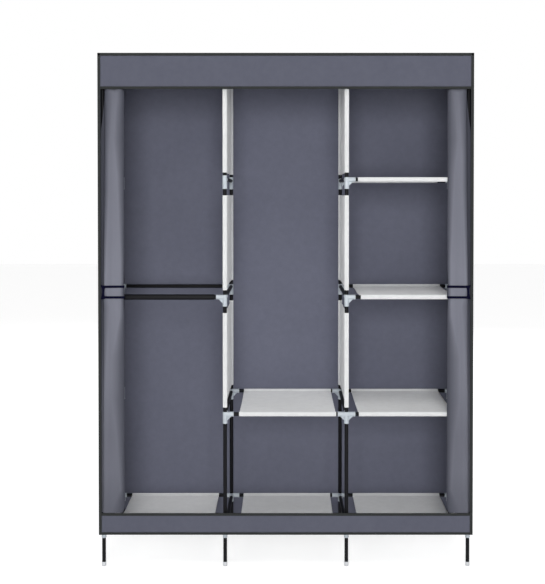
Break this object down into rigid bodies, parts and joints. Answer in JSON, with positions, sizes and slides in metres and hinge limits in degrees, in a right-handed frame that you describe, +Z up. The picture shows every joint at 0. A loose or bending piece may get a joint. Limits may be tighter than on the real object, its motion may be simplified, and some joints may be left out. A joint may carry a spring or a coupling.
{
  "type": "portable fabric wardrobe",
  "caption": "Free-standing clothes wardrobe: a slot-together tube frame with cloth shelves, hanging rails and a fabric cover whose door curtains are tied back.",
  "frame": {"origin": "on the floor, under the middle of the cover", "axes": "+X to the viewer's right, +Y from the open front to the back, +Z up"},
  "size_m": [1.27, 0.43, 1.75],
  "materials": {
    "black_tube": "satin black powder coat on thin steel tube, pale blue-grey moulded plastic on the connectors and foot caps",
    "pale_connector": "moulded plastic, fine grain",
    "white_cloth": "white non-woven cloth, point-bonded",
    "grey_cloth": "grey non-woven cloth, point-bonded",
    "curtain_cloth": "grey non-woven cloth, thinner and paler where it is gathered",
    "black_binding": "black woven binding tape"
  },
  "bodies": {
    "frame": {"upright_front_left": "black_tube", "upright_front_midleft": "black_tube", "upright_front_midright": "black_tube", "upright_front_right": "black_tube", "upright_back_left": "black_tube", "upright_back_midleft": "black_tube", "upright_back_midright": "black_tube", "upright_back_right": "black_tube", "base_frame": "black_tube", "top_frame": "black_tube", "cross_rail_low_left": "black_tube", "cross_rail_low_midleft": "black_tube", "cross_rail_low_midright": "black_tube", "cross_rail_low_right": "black_tube", "front_rail_low_middle": "black_tube", "back_rail_low_middle": "black_tube", "front_rail_low_right": "black_tube", "back_rail_low_right": "black_tube", "cross_rail_mid_left": "black_tube", "cross_rail_mid_midleft": "black_tube", "cross_rail_mid_midright": "black_tube", "cross_rail_mid_right": "black_tube", "hanging_rail_mid_left": "black_tube", "back_rail_mid_left": "black_tube", "front_rail_mid_right": "black_tube", "back_rail_mid_right": "black_tube", "cross_rail_high_left": "black_tube", "cross_rail_high_midleft": "black_tube", "cross_rail_high_midright": "black_tube", "cross_rail_high_right": "black_tube", "front_rail_high_right": "black_tube", "back_rail_high_right": "black_tube", "hanging_rail_top_left": "black_tube", "hanging_rail_top_middle": "black_tube", "front_rail_top_right": "black_tube", "shelf_base_left": "white_cloth", "shelf_base_middle": "white_cloth", "shelf_base_right": "white_cloth", "shelf_low_middle": "white_cloth", "shelf_low_right": "white_cloth", "shelf_mid_right": "white_cloth", "shelf_high_right": "white_cloth", "partition_low_midleft": "white_cloth", "partition_mid_midleft": "white_cloth", "partition_high_midleft": "white_cloth", "partition_low_midright": "white_cloth", "partition_mid_midright": "white_cloth", "partition_high_midright": "white_cloth", "cover_roof": "grey_cloth", "cover_back": "grey_cloth", "cover_side_left": "grey_cloth", "cover_side_right": "grey_cloth", "valance_top": "grey_cloth", "valance_bottom": "grey_cloth"},
    "door_left": {"curtain_left": "curtain_cloth", "tie_left": "curtain_cloth"},
    "door_right": {"curtain_right": "curtain_cloth", "tie_right": "curtain_cloth"}
  },
  "joints": [
    {"name": "door_left_swing", "type": "hinge", "parent": "frame", "child": "door_left", "pos_m": [-0.635, -0.215, 0.9], "axis": [0, 0, -1], "range_deg": [0, 90]},
    {"name": "door_right_swing", "type": "hinge", "parent": "frame", "child": "door_right", "pos_m": [0.635, -0.215, 0.9], "axis": [0, 0, 1], "range_deg": [0, 90]}
  ]
}
